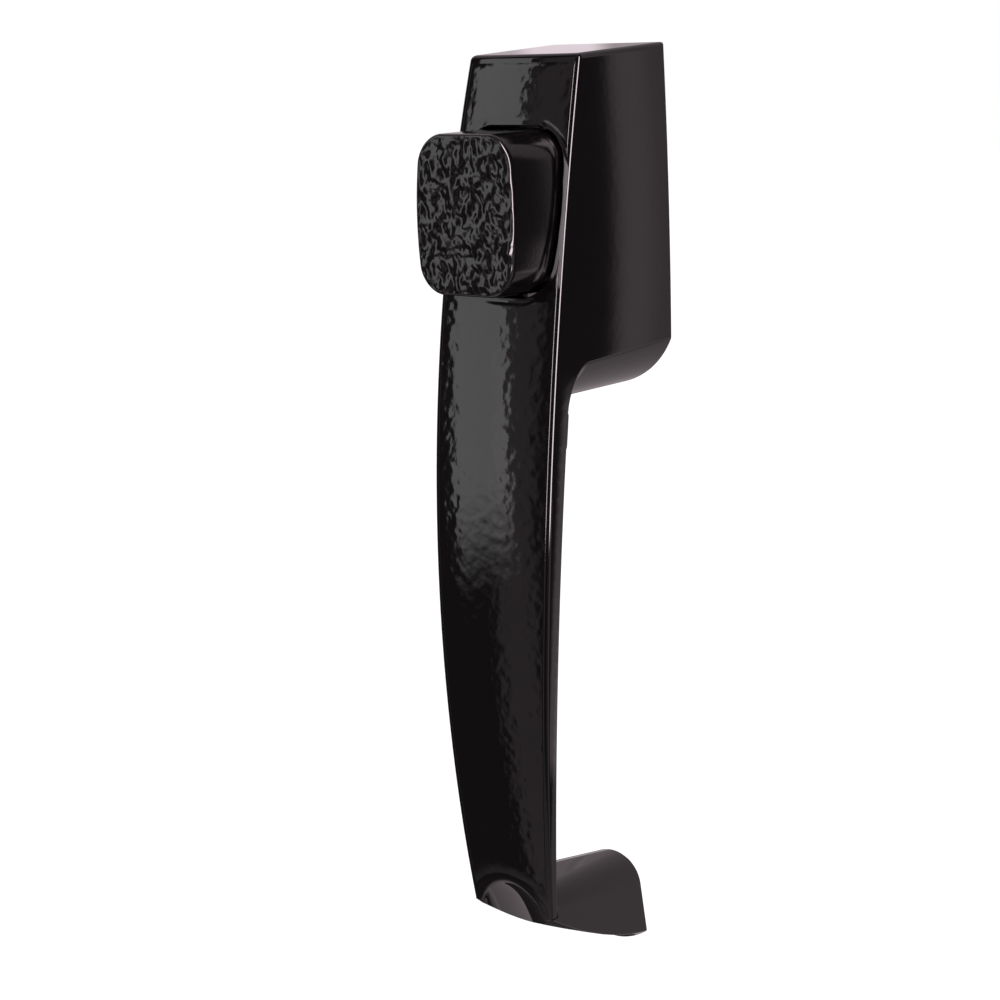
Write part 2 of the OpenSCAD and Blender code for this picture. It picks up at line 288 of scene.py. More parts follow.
footShape = {
    "drop": 127.0,           # top of the pad below the button's axis
    "padHeight": 18.1,
    "padHalfWidth": 7.9,
    "padDome": 6.5,
    "padSag": 3.0,
    "padSagFade": 6,         # how soon the pad's sag is gone in front of the door
    "rise": 4.4,             # of the foot's back towards the grip
    "frontCorner": 9,        # where the foot's width at the face is taken
    "frontRound": 0.7,       # share of its height there that is rounded
    "frontGap": 0.05,        # its front end lies this far behind the face
    "edgeBow": 2.1,
    "sag": 1.6,
    "seamGap": 0.02,         # keeps the two middle points of its top apart
    "steps": 14,
    "rings": 10,
    "wall": 2.0,
    "pocket": 10.0,
    "pocketDraft": 1.2,
}


def footRing(t, step):
    # One point of the foot's outline, from the door (t = 0) to the face (t = 1)
    s, steps = footShape, footShape["steps"]
    bottom = handleShape["bottom"]
    frontWidth = sideX(frontY(s["frontCorner"], bottom), bottom)
    frontRound = s["frontRound"] * (-s["drop"] + s["rise"] - bottom)

    def between(door, face):
        return door + (face - door) * t

    width = between(s["padHalfWidth"], frontWidth)
    low = between(-s["drop"] - s["padHeight"] + s["padSag"], bottom)
    low -= 4 * s["edgeBow"] * t * (1 - t)
    sag = s["sag"] * t ** 2 + s["padSag"] * (1 - t) ** s["padSagFade"]
    radius = between(s["padDome"], frontRound)
    cx = between(0, frontWidth - frontRound)
    cz = between(-s["drop"], -s["drop"] + s["rise"]) - radius
    splay = math.acos(radius / math.hypot(width - cx, low - cz))
    splay += math.atan2(low - cz, width - cx)
    if step <= steps:
        u = 2 * step / steps - 1
        return width * u, low - sag * (1 - u * u)
    if step <= 2 * steps + 1:
        side, share, gap = 1, (step - steps - 1) / steps, 0
    else:
        side, share, gap = -1, 1 - (step - 2 * steps - 2) / steps, s["seamGap"]
    angle = splay + (math.pi / 2 - splay) * share
    return side * (cx + radius * math.cos(angle)) - gap, cz + radius * math.sin(angle)


def outlinePoints():
    return 3 * (footShape["steps"] + 1)


def outlineDisc(name, rings):
    # A disc with one corner per point of the foot's outline, drawn out forwards in steps
    startClean()
    bpy.ops.mesh.primitive_circle_add(
        vertices=outlinePoints(), radius=mm, fill_type="NGON", rotation=(math.pi / 2, 0, 0))
    disc = settle(name)
    bpy.ops.object.mode_set(mode="EDIT")
    bpy.ops.mesh.select_all(action="SELECT")
    for ring in range(rings):
        bpy.ops.mesh.extrude_region_move(TRANSFORM_OT_translate={"value": (0, -mm, 0)})
    objectMode()
    return disc


def outlineStep(x, z):
    # Which point of the outline a corner of the disc is for. The first one is at the lower
    # left, three eighths of a turn before +X.
    turn = (math.atan2(z, x) / (2 * math.pi) + 3 / 8) % 1
    return round(turn * outlinePoints()) % outlinePoints()


def makeFoot():
    # Each ring of the disc is set to the outline at its depth
    s = footShape
    foot = outlineDisc("foot", s["rings"])

    def place(x, y, z):
        t = round(-y) / s["rings"]
        px, pz = footRing(t, outlineStep(x, z))
        return px, t * (frontY(px, pz) + s["frontGap"]), pz

    shape(foot, place)
    faceOutwards(foot)
    return foot


def makePocket():
    # The hollow behind the pad
    s = footShape
    pocket = outlineDisc("pocket", 1)
    middle = -s["drop"] - s["padHeight"] / 2

    def place(x, y, z):
        px, pz = footRing(0, outlineStep(x, z))
        deep = y < -0.5
        inset = s["wall"] + (s["pocketDraft"] if deep else 0)
        pz = middle + (pz - middle) * (1 - inset / (s["padHeight"] / 2))
        pz += s["rise"] / 2 if deep else 0
        return px * (1 - inset / s["padHalfWidth"]), -s["pocket"] if deep else 1, pz

    shape(pocket, place)
    faceOutwards(pocket)
    return pocket


def insidePad(x, z):
    # A rough depth inside the pad's outline on the door
    f = footShape
    middle = -f["drop"] - f["padHeight"] / 2
    return min(f["padHalfWidth"] - abs(x), f["padHeight"] / 2 - abs(z - middle))


# The scoop at the foot's front

scoopShape = {
    "radius": 8.9,           # of its arch
    "rise": 5.8,             # of the arch above the face's lower end
    "flank": 3,              # slope of the arch's two ends
    "fall": 62.0,            # degrees
    "hollow": 0.3,
    "hollowRate": 2,
    "roll": 0.15,            # softness of its arch
    "halfWidth": 16,         # of the sheet that cuts it
    "halfHeight": 8,
    "middle": -128,
    "front": -60,
    "columns": 96,
    "rows": 56,
    "hair": 0.01,            # the sheet's distance from the face, behind it and before it
    "archMargin": 0.4,       # it goes before the face from here on above the arch
    "archFade": 1.4,
    "ridgeMargin": 7.9,      # and from here on to the sides
    "ridgeFade": 0.7,
}


def archZ():
    # Height of the centre of the scoop's arch
    return handleShape["bottom"] + scoopShape["rise"] - scoopShape["radius"]


def scoopDepth(x, z):
    # How far the scoop lies behind the face, with its arch rolled over softly
    s = scoopShape
    top = handleShape["bottom"] + s["rise"]
    radius, roll = s["radius"], s["roll"]
    arch = archZ() + math.sqrt(max(radius ** 2 - x * x, 0)) - s["flank"] * max(abs(x) - radius, 0)
    deep = (arch - z) / math.tan(math.radians(s["fall"])) + frontY(0, top) - frontY(x, z)
    deep += s["hollow"] * (1 - math.exp(-s["hollowRate"] * max(deep, 0)))
    return max(deep, 0) if abs(deep) > roll else (deep + roll) ** 2 / (4 * roll)


def makeScoop():
    # A sheet just before the face that dips in at the foot, drawn out forwards
    s = scoopShape
    scoop = uprightGrid("scoop", s["columns"], s["rows"], -1)

    def place(across, depth, up):
        x, z = s["halfWidth"] * across, s["halfHeight"] * up + s["middle"]
        if depth < -0.5:
            return x, s["front"], z
        # The sheet meets the face round the arch, and stands a hair before it elsewhere
        above = (math.hypot(x, z - archZ()) - s["radius"] - s["archMargin"]) / s["archFade"]
        aside = (abs(x) - s["ridgeMargin"]) / s["ridgeFade"]
        clear = min(max(above, aside, 0), 1)
        return x, frontY(x, z) + scoopDepth(x, z) + s["hair"] - 2 * s["hair"] * clear, z

    shape(scoop, place)
    faceOutwards(scoop)
    return scoop


# The push button's outline, which its well follows too

buttonShape = {
    "halfWidth": 10.6,
    "halfHeight": 13.6,
    "corner": 5.0,
    "sideBow": 75.0,
    "reach": 42.8,
    "edgeRound": 1.1,
    "faceSink": 0.05,        # which keeps the grain's peaks within the reach
    "sideDraft": 0.22,       # how much wider it is at the well than at its face
    "back": 22.0,
    "wall": 2.0,
    "columns": 104,
    "rows": 132,
    "flatShare": 0.86,       # of its columns and rows, with the rest on the rounded edge
    "pebbles": 2.2,          # size of the coarse leather grain
    "pebbleDepth": 0.85,
    "pebbleMiddle": 0.78,
    "creases": 0.6,
    "creaseDepth": 0.03,
    "grainMargin": 0.3,      # plain border round the grain
    "grainFade": 0.4,
    "shank": 4.0,
    "shankEnd": 1.0,
    "shankJoin": 0.5,        # how far the shank is sunk into the cap
    "shankEdge": 0.15,
    "sharp": 60,             # degrees
    "smooth": 50,            # degrees
    "collar": 5.4,
    "collarFront": -38.4,
    "grooveFront": -2.9,
    "grooveBack": -1.9,
    "grooveRadius": 3.1,
    "bore": 2.55,
    "boreEnd": -20.0,
    "wellGap": 0.85,
    "wellFront": -60,
    "wellBack": -13.4,
    "wellSegments": 12,
    "wellLevels": 7,         # cuts that let the well follow the button's bowed sides
    "wellStep": 2.4,
}


def bulge(z):
    s = buttonShape
    return 1 - z * z / (2 * s["sideBow"] * s["halfWidth"])


def insideOutline(x, z, margin=0):
    # How far a place lies inside the button's outline, negative outside it
    s = buttonShape
    qx = abs(x) / bulge(z) - (s["halfWidth"] - s["corner"])
    qz = abs(z) - (s["halfHeight"] - s["corner"])
    return s["corner"] + margin - math.hypot(max(qx, 0), max(qz, 0)) - min(max(qx, qz), 0)


def makeWell():
    s = buttonShape
    gap = s["wellGap"]
    startClean()
    bpy.ops.mesh.primitive_cube_add(
        size=1, location=(0, (s["wellFront"] + s["wellBack"]) / 2 * mm, 0),
        scale=(
            2 * (s["halfWidth"] + gap) * mm, (s["wellBack"] - s["wellFront"]) * mm,
            2 * (s["halfHeight"] + gap) * mm))
    well = settle("well")
    selectEdges(well, lambda a, b: abs(a.y - b.y) > 1)
    bpy.ops.mesh.bevel(
        offset=(s["corner"] + gap) * mm, segments=s["wellSegments"], affect="EDGES")
    for level in range(s["wellLevels"]):
        height = (level - s["wellLevels"] // 2) * s["wellStep"]
        bpy.ops.mesh.select_all(action="SELECT")
        bpy.ops.mesh.bisect(plane_co=(0, 0, height * mm), plane_no=(0, 0, 1))
    objectMode()
    shape(well, lambda x, y, z: (x * bulge(z), y, z))
    faceOutwards(well)
    return well


# The casting, with what is inside its case

caseInside = {
    "behind": 3,             # how far the hollows' cutters stand out behind the door's face
    "cavityRows": 12,
    "cavityColumns": 12,
    "roundFront": -31.9,
    "roundBack": 3.02,
    "roundSides": 96,
    "channelRows": 30,
    "channelColumns": 8,
    "mountRise": 22.225,     # of each mounting screw from the button's axis
    "bossRadius": 4,
    "bossBack": -0.03,
    "lowerBossFront": -32.8,
    "upperBossFront": -19,
    "mountHole": 1.75,
    "mountHoleFront": -14,
    "postRise": 19.6,        # the plate lies on four posts, and two of them take its screws
    "postAside": 7.4,
    "postRadius": 2.5,
    "postBack": -4.4,
    "postCorner": 8,         # where the face is measured for the posts' front ends
    "postSink": 1.2,         # and how far behind the face they start
    "screwHole": 1.45,
    "screwHoleFront": -12.4,
    "screwHoleBack": -4,
    "sides": 32,
    "screwHoleSides": 24,
}


def makeHandle():
    s, f, c = handleShape, footShape, caseInside
    body = makeBlock("handleCasting", 0, s["bottom"], 0, s["rows"], s["columns"])
    combine(body, makeGapCutter())
    combine(body, makeFoot(), "UNION")
    combine(body, makeScoop())

    cavity = makeBlock(
        "cavity", s["caseWall"], s["caseRoundZ"], c["behind"], c["cavityRows"],
        c["cavityColumns"])
    combine(cavity, rod(
        "cavityRound", s["caseRound"] - s["caseWall"], c["roundFront"], c["roundBack"],
        0, s["caseRoundZ"], c["roundSides"]), "UNION")
    combine(body, cavity)
    combine(body, makeWell())

    channel = makeBlock(
        "channel", s["gripWall"], -f["drop"] + f["rise"] + s["gripWall"], c["behind"],
        c["channelRows"], c["channelColumns"])
    startSelecting(channel, "VERT")
    bpy.ops.mesh.select_all(action="SELECT")
    bpy.ops.mesh.bisect(
        plane_co=(0, 0, (s["caseRoundZ"] - s["caseRound"] - s["gripFillet"]) * mm),
        plane_no=(0, 0, 1), clear_outer=True, use_fill=True)
    objectMode()
    faceOutwards(channel)
    combine(body, channel)

    for end in (-1, 1):
        front = c["lowerBossFront"] if end < 0 else c["upperBossFront"]
        combine(body, rod(
            "boss", c["bossRadius"], front, c["bossBack"], 0, end * c["mountRise"]), "UNION")
        postZ = end * c["postRise"]
        front = frontY(c["postCorner"], postZ + c["postRadius"]) + c["postSink"]
        for side in (-1, 1):
            combine(body, rod(
                "post", c["postRadius"], front, c["postBack"], side * c["postAside"], postZ,
                c["sides"]), "UNION")
    for end in (-1, 1):
        combine(body, rod(
            "mountHole", c["mountHole"], c["mountHoleFront"], 1, 0, end * c["mountRise"],
            c["sides"]))
        combine(body, rod(
            "screwHole", c["screwHole"], c["screwHoleFront"], c["screwHoleBack"],
            -end * c["postAside"], end * c["postRise"], c["screwHoleSides"]))
    combine(body, makePocket())
    faceOutwards(body, s["merge"])
    return body


# The roundings of the casting's outer edges

edgeRounding = {
    "ridge": 0.44,           # between the face and the sides
    "topFront": 0.75,
    "topSide": 1.0,
    "well": 0.2,
    "back": 0.15,
    "gripBack": 0.26,        # and round the case's bottom, without a step between the two
    "foot": 0.3,
}

# How these edges are found, and where their rounding is narrower
edgeFinding = {
    "segments": 4,
    "sharp": 20,             # degrees
    "near": 0.3,             # how far off a surface its points may lie
    "nearCaseBottom": 0.2,
    "nearWell": 1,
    "nearDoor": -0.3,
    "footTop": -122.7,
    "footInside": -10.3,     # behind this the pocket's walls are told from the outer ones
    "padBorder": 1,          # by how far they lie inside the pad's outline
    "archTop": -118,         # the scoop's arch, below this and within this width, stays as cut
    "archHalf": 8.3,
    "ridgeFade": -95,        # below this the ridge gets narrower towards the foot's corners
    "ridgeEnd": -134,
    "leastRidge": 0.2,
    "footFade": 6,           # the foot's edges get narrower towards the face
    "footEnd": -35,
    "leastFoot": 0.25,
}


def outerSurfaces(place):
    # The outer surfaces that a point lies on
    s, e = handleShape, edgeFinding
    x, y, z = place
    found = set()
    if z < e["footTop"]:
        if y < e["footInside"] or insidePad(x, z) < e["padBorder"]:
            found.add("foot")
    elif abs(x) > sideX(y, z) - e["near"]:
        found.add("side")
    if abs(y - frontY(x, z) - scoopDepth(x, z)) < e["near"]:
        found.add("front")
    if z > topZ(y) - e["near"]:
        found.add("top")
    beyondRound = math.hypot(x, z - s["caseRoundZ"]) - s["caseRound"]
    if z < s["caseRoundZ"] and abs(beyondRound) < e["nearCaseBottom"]:
        found.add("caseBottom")
    return found


def rounding(start, end):
    # How widely the edge between two points is rounded, if it is an outer edge
    r, e = edgeRounding, edgeFinding
    here, there = outerSurfaces(start), outerSurfaces(end)
    if not here or not there:
        return 0
    both = here & there
    x, y, z = (start + end) / 2
    if y > e["nearDoor"]:
        return r["back"]
    if "front" in both:
        if abs(insideOutline(x, z, buttonShape["wellGap"])) < e["nearWell"]:
            return r["well"]
        if z < e["archTop"] and abs(x) < e["archHalf"] and "foot" not in both:
            return 0
        if z < e["ridgeFade"]:
            share = (z - e["ridgeEnd"]) / (e["ridgeFade"] - e["ridgeEnd"])
            return r["ridge"] * max(share, e["leastRidge"])
    if "foot" in both:
        return r["foot"] * min(max((y - e["footEnd"]) / e["footFade"], e["leastFoot"]), 1)
    if "top" in both:
        return r["topFront"] if "front" in both else r["topSide"]
    return r["ridge"] if "front" in both else r["gripBack"]


def roundOuterEdges(body):
    # Only sharp edges that show from outside are rounded
    e = edgeFinding
    startSelecting(body, "EDGE")
    bpy.ops.mesh.edges_select_sharp(sharpness=math.radians(e["sharp"]))
    objectMode()
    widest = max(edgeRounding.values())
    verts = body.data.vertices
    weights = body.data.attributes.new("bevel_weight_edge", "FLOAT", "EDGE")
    for edge in body.data.edges:
        if edge.select:
            start, end = (verts[i].co / mm for i in edge.vertices)
            weights.data[edge.index].value = rounding(start, end) / widest
    rounded = body.modifiers.new("rounded", "BEVEL")
    rounded.limit_method = "WEIGHT"
    rounded.width = widest * mm
    rounded.segments = e["segments"]
    rounded.use_clamp_overlap = False
    applyModifiers(body)


handleCasting = makeHandle()
roundOuterEdges(handleCasting)
weigh = handleCasting.modifiers.new("evenShading", "WEIGHTED_NORMAL")
weigh.keep_sharp = True
smoothUnder(handleCasting, handleShape["smooth"])
applyModifiers(handleCasting)
print("handle casting:", len(handleCasting.data.polygons), "faces")


# The grained panel on the face

panelShape = {
    "inset": 0.85,           # from the handle's side edges
    "topInset": 0.8,
    "lowInset": 0.45,
    "proud": 0.12,           # how far it stands out of the casting
    "edge": 0.14,            # radius of its border along the two sides
    "blend": 1.5,            # width over which it sinks into the casting elsewhere
    "sink": 0.06,            # and how far below the casting's surface it ends
    "wellOverlap": 0.3,
    "archOverlap": 0.15,
    "archShare": 0.4,        # it sinks more slowly towards the arch
    "hidden": -0.1,          # what lies farther out than this is left out
    "thickness": 0.3,
    "rows": 480,
    "columns": 86,
    "dents": 1.6,            # size of the soft, hammered dents
    "dentDepth": 0.06,
    "creases": 0.6,
    "creaseDepth": 0.005,
    "grainFade": 0.3,
    "firstReach": 30,        # guess of the face's reach, from which the true one is found
}


def rollEnd(u, half, edge, flat=0.9):
    # Spreads a row of points evenly, with those near both ends along a quarter circle
    if abs(u) <= flat:
        return u / flat * (half - edge)
    turn = (abs(u) - flat) / (1 - flat) * math.pi / 2
    return math.copysign(half - edge + edge * math.sin(turn), u)


def panelPlace(across, up):
    # A place on the panel, with its distances from the side border and from the other ones
    s = panelShape
    bottom = handleShape["bottom"] + s["lowInset"]
    y = -s["firstReach"]
    for again in range(closingRounds):
        half = (topZ(y) - s["topInset"] - bottom) / 2
        z = bottom + half * (1 + up)
        wide = sideX(y, z) - s["inset"]
        x = rollEnd(across, wide, s["edge"])
        y = frontY(x, z)
    fromArch = math.hypot(x, z - archZ()) - scoopShape["radius"] - s["archOverlap"]
    other = min(
        half * (1 - abs(up)),
        -insideOutline(x, z, buttonShape["wellGap"]) - s["wellOverlap"],
        s["archShare"] * fromArch)
    return x, y, z, wide - abs(x), other


def grainTexture(name, size, basis, kind="CLOUDS"):
    texture = bpy.data.textures.new(name, kind)
    texture.noise_scale = size * mm
    texture.noise_basis = basis
    if kind == "CLOUDS":
        texture.noise_depth = 1
    else:
        texture.noise_distortion = "ORIGINAL_PERLIN"
        texture.distortion = 1.2
    return texture


def pressGrain(piece, texture, depth, middle=0.5):
    # Presses a texture into the points of the group "grained"
    grain = piece.modifiers.new(texture.name, "DISPLACE")
    grain.texture = texture
    grain.texture_coords = "LOCAL"
    grain.strength = depth * mm
    grain.mid_level = middle
    grain.vertex_group = "grained"
    applyModifiers(piece)


def makePanel():
    s = panelShape
    panel = uprightGrid("grainedPanel", s["columns"], s["rows"])
    weights = panel.vertex_groups.new(name="grained")
    hidden = set()
    for vert in panel.data.vertices:
        x, y, z, side, other = panelPlace(vert.co.x / mm, vert.co.z / mm)
        short = max(s["edge"] - max(side, 0), 0)
        roll = s["edge"] - math.sqrt(s["edge"] ** 2 - short ** 2)
        share = min(max(other / s["blend"], 0), 1)
        sunk = (s["proud"] + s["sink"]) * (1 - share * share * (3 - 2 * share))
        vert.co = Vector((x, y - s["proud"] + max(roll, sunk), z)) * mm
        weight = min((side - s["edge"]) / s["grainFade"], share)
        weights.add([vert.index], min(max(weight, 0), 1), "REPLACE")
        if other < s["hidden"]:
            hidden.add(vert.index)
    panel.data.update()
    startSelecting(panel, "VERT")
    objectMode()
    for vert in panel.data.vertices:
        vert.select = vert.index in hidden
    bpy.ops.object.mode_set(mode="EDIT")
    bpy.ops.mesh.delete(type="VERT")
    objectMode()
    pressGrain(panel, grainTexture("dents", s["dents"], "ORIGINAL_PERLIN"), s["dentDepth"])
    creases = grainTexture("creases", s["creases"], "IMPROVED_PERLIN", "DISTORTED_NOISE")
    pressGrain(panel, creases, s["creaseDepth"])
    wall = panel.modifiers.new("thickness", "SOLIDIFY")
    wall.thickness = s["thickness"] * mm
    wall.offset = -1
    applyModifiers(panel)
    bpy.ops.object.shade_smooth()
    return panel


grainedPanel = makePanel()
print("grained panel:", len(grainedPanel.data.polygons), "faces")


# The push button: a grained face, drawn back into a cap, with a shank behind it

def buttonRowHalf(z):
    # Half the width of the button's outline at a height
    s = buttonShape
    over = max(abs(z) - (s["halfHeight"] - s["corner"]), 0)
    corner = math.sqrt(max(s["corner"] ** 2 - over ** 2, 0))
    return (s["halfWidth"] - s["corner"] + corner) * bulge(z)


def makeButtonFace():
    s = buttonShape
    face = uprightGrid("pushButton", s["columns"], s["rows"])
    grained = face.vertex_groups.new(name="grained")
    for vert in face.data.vertices:
        z = rollEnd(vert.co.z / mm, s["halfHeight"], s["edgeRound"], s["flatShare"])
        x = rollEnd(vert.co.x / mm, buttonRowHalf(z), s["edgeRound"], s["flatShare"])
        inside = insideOutline(x, z)
        short = max(s["edgeRound"] - max(inside, 0), 0)
        roll = s["edgeRound"] - math.sqrt(max(s["edgeRound"] ** 2 - short ** 2, 0))
        vert.co = Vector((x, roll - s["reach"] + s["faceSink"], z)) * mm
        weight = (inside - s["grainMargin"]) / s["grainFade"]
        grained.add([vert.index], min(max(weight, 0), 1), "REPLACE")
    face.data.update()
    pebbles = grainTexture("leatherPebbles", s["pebbles"], "ORIGINAL_PERLIN")
    pressGrain(face, pebbles, s["pebbleDepth"], s["pebbleMiddle"])
    creases = grainTexture("leatherCreases", s["creases"], "IMPROVED_PERLIN", "DISTORTED_NOISE")
    pressGrain(face, creases, s["creaseDepth"], 1.0)
    return face


def drawBorderBack(face):
    # The face's border is drawn back, turned in by the wall, and brought forward again
    s = buttonShape
    pick(face)
    bpy.ops.object.mode_set(mode="EDIT")
    bpy.ops.mesh.select_mode(type="EDGE")
    bpy.ops.mesh.select_all(action="SELECT")
    bpy.ops.mesh.region_to_loop()

    def draw(distance):
        bpy.ops.mesh.extrude_edges_move(
            TRANSFORM_OT_translate={"value": (0, distance * mm, 0)})

    def widen(margin):
        growth = (1 + margin / s["halfWidth"], 1, 1 + margin / s["halfHeight"])
        bpy.ops.transform.resize(value=growth, center_override=(0, 0, 0))

    depth = s["reach"] - s["edgeRound"] - s["back"]
    draw(depth / 2)
    widen(s["sideDraft"])
    draw(depth / 2)
    draw(0)
    widen(-s["wall"])
    draw(-(s["reach"] - s["wall"] - s["back"]))
    bpy.ops.mesh.edge_face_add()
    objectMode()


def makeShank():
    s = buttonShape
    front = -s["reach"] + s["wall"] - s["shankJoin"]
    shank = rod("shank", s["shank"], front, s["shankEnd"])
    combine(shank, rod("collar", s["collar"], front, s["collarFront"]), "UNION")
    groove = rod("groove", s["shank"] + 1, s["grooveFront"], s["grooveBack"])
    core = rod("grooveCore", s["grooveRadius"], s["grooveFront"] - 1, s["grooveBack"] + 1)
    combine(groove, core)
    combine(shank, groove)
    combine(shank, rod("bore", s["bore"], s["boreEnd"], s["shankEnd"] + 1))
    startSelecting(shank, "EDGE")
    bpy.ops.mesh.edges_select_sharp(sharpness=math.radians(s["sharp"]))
    bpy.ops.mesh.bevel(offset=s["shankEdge"] * mm, segments=2, affect="EDGES")
    return shank


def makeButton():
    button = makeButtonFace()
    drawBorderBack(button)
    pick(makeShank(), button)
    bpy.ops.object.join()
    faceOutwards(button)
    smoothUnder(button, buttonShape["smooth"])
    return button


pushButton = makeButton()
print("push button:", len(pushButton.data.polygons), "faces")


# The return spring, from the button's collar to the retainer plate

springShape = {
    "radius": 4.9,
    "wire": 1.0,
    "front": -37.85,         # middle of the wire at each end
    "back": -4.95,
    "turns": 8,              # open turns, with one flat turn more at each end
    "pointsPerTurn": 28,
    "smooth": 50,            # degrees
}


def makeSpring():
    s = springShape
    pitch = (s["back"] - s["front"] - 2 * s["wire"]) / s["turns"]
    curve = bpy.data.curves.new("returnSpring", "CURVE")
    curve.dimensions = "3D"
    line = curve.splines.new("POLY")
    count = s["pointsPerTurn"] * (s["turns"] + 2)
    line.points.add(count)
    for i, point in enumerate(line.points):
        turn = i / s["pointsPerTurn"]
        rise = s["wire"] * min(turn, 1) + pitch * min(max(turn - 1, 0), s["turns"])
        rise += s["wire"] * max(turn - 1 - s["turns"], 0)
        angle = 2 * math.pi * turn
        place = (s["radius"] * math.cos(angle), s["front"] + rise, s["radius"] * math.sin(angle))
        point.co = (*(value * mm for value in place), 1)
    curve.bevel_depth = s["wire"] / 2 * mm
    curve.bevel_resolution = 3
    curve.use_fill_caps = True
    spring = bpy.data.objects.new("returnSpringWire", curve)
    bpy.context.scene.collection.objects.link(spring)
    pick(spring)
    bpy.ops.object.convert(target="MESH")
    spring = bpy.context.view_layer.objects.active
    faceOutwards(spring)
    smoothUnder(spring, s["smooth"])
    return spring


returnSpring = makeSpring()
print("return spring:", len(returnSpring.data.polygons), "faces")


# Materials

def linear(hexColour):
    # An sRGB hex value as the linear colour that the nodes work in
    parts = [int(hexColour[i:i + 2], 16) / 255 for i in (1, 3, 5)]
    return (*(p / 12.92 if p <= 0.04045 else ((p + 0.055) / 1.055) ** 2.4 for p in parts), 1.0)


def addNode(tree, kind, settings=None, links=None):
    # One node with its settings, by attribute or by socket, and what its sockets read
    node = tree.nodes.new(kind)
    for name, value in (settings or {}).items():
        if isinstance(name, str) and hasattr(node, name):
            setattr(node, name, value)
        else:
            node.inputs[name].default_value = value
    for name, source in (links or {}).items():
        tree.links.new(source, node.inputs[name])
    return node


def calculate(tree, operation, *values):
    # A Math node whose inputs are numbers or the outputs of other nodes
    numbers = {i: value for i, value in enumerate(values) if isinstance(value, (int, float))}
    sockets = {i: value for i, value in enumerate(values) if i not in numbers}
    return addNode(tree, "ShaderNodeMath", {"operation": operation, **numbers}, sockets).outputs[0]


def newMaterial(name):
    # An empty material, and the coordinates in the piece that its patterns read
    material = bpy.data.materials.new(name)
    material.use_nodes = True
    tree = material.node_tree
    tree.nodes.clear()
    return material, tree, addNode(tree, "ShaderNodeTexCoord").outputs["Object"]


def scaleOf(size):
    # A texture scale that gives features about this many millimetres wide
    return 1 / (size * mm)


def clouds(tree, place, scale, detail):
    return addNode(
        tree, "ShaderNodeTexNoise", {"Scale": scale, "Detail": detail},
        {"Vector": place}).outputs["Fac"]


def mixColours(tree, share, first, second):
    return addNode(
        tree, "ShaderNodeMix", {"data_type": "RGBA", 6: linear(first), 7: linear(second)},
        {0: share}).outputs[2]


enamelColours = ("#0a080a", "#110d10")
enamelShine = {"IOR": 1.5, "Specular IOR Level": 0.5}

# How each surface looks. Its colour changes in patches, its roughness with them or in dull
# spots, and its bump is a fine relief, which lies between cells where it has them. Each
# noise has the size of its features and its detail.
surfaceLooks = {
    # Baked gloss enamel sprayed on a zinc die casting: deep black, mirror-like, with a
    # faint ripple that makes straight reflections waver a little
    "blackBakedEnamel": {
        "colours": enamelColours, "roughness": (0.025, 0.045), "shine": enamelShine,
        "patches": (14, 3), "dullSpots": (5, 4), "relief": (1.6, 1), "depth": 0.001},
    # The same enamel over a leather-grained casting: the grain is in the mesh, and the
    # finest creases, too small for it, are left to the bump
    "grainedBlackEnamel": {
        "colours": enamelColours, "roughness": (0.05, 0.08), "shine": enamelShine,
        "patches": (6, 4), "cells": 1.0, "relief": (0.6, 2), "depth": 0.002},
    "leatherGrainEnamel": {
        "colours": enamelColours, "roughness": (0.1, 0.15), "shine": enamelShine,
        "patches": (6, 4), "cells": 0.7, "relief": (0.42, 2), "depth": 0.004},
    # Bright zinc plating on stamped or turned steel: pale, a little blue, with a fine
    # frost and cloudy patches where the bath left it duller
    "brightZincPlate": {
        "colours": ("#b4b8be", "#d3d6da"), "roughness": (0.22, 0.42), "shine": {"Metallic": 1.0},
        "patches": (4, 5), "relief": (0.3, 3), "depth": 0.006},
    # Hard-drawn carbon steel with a thin oil film: darker grey, with faint marks from
    # drawing and rolling
    "drawnSpringSteel": {
        "colours": ("#77797d", "#9b9da1"), "roughness": (0.24, 0.4), "shine": {"Metallic": 1.0},
        "patches": (2.5, 4), "relief": (0.25, 2), "depth": 0.005},
}

cellCrease = {"width": 0.25, "share": 0.6}


def makeSurface(name):
    look = surfaceLooks[name]
    material, tree, place = newMaterial(name)

    def noise(part):
        size, detail = look[part]
        return clouds(tree, place, scaleOf(size), detail)

    patches = noise("patches")
    low, high = look["roughness"]
    rough = addNode(
        tree, "ShaderNodeMapRange", {3: low, 4: high},
        {0: noise("dullSpots") if "dullSpots" in look else patches})
    relief = noise("relief")
    if "cells" in look:
        cells = addNode(
            tree, "ShaderNodeTexVoronoi",
            {"feature": "DISTANCE_TO_EDGE", "Scale": scaleOf(look["cells"])}, {"Vector": place})
        creases = addNode(
            tree, "ShaderNodeMapRange", {2: cellCrease["width"]}, {0: cells.outputs["Distance"]})
        relief = calculate(tree, "MULTIPLY_ADD", creases.outputs[0], cellCrease["share"], relief)
    bump = addNode(
        tree, "ShaderNodeBump", {"Strength": 1.0, "Distance": look["depth"] * mm},
        {"Height": relief})
    shader = addNode(
        tree, "ShaderNodeBsdfPrincipled", look["shine"],
        {"Base Color": mixColours(tree, patches, *look["colours"]),
         "Roughness": rough.outputs[0], "Normal": bump.outputs[0]})
    addNode(tree, "ShaderNodeOutputMaterial", None, {"Surface": shader.outputs[0]})
    return material


def give(piece, material):
    piece.data.materials.clear()
    piece.data.materials.append(material)


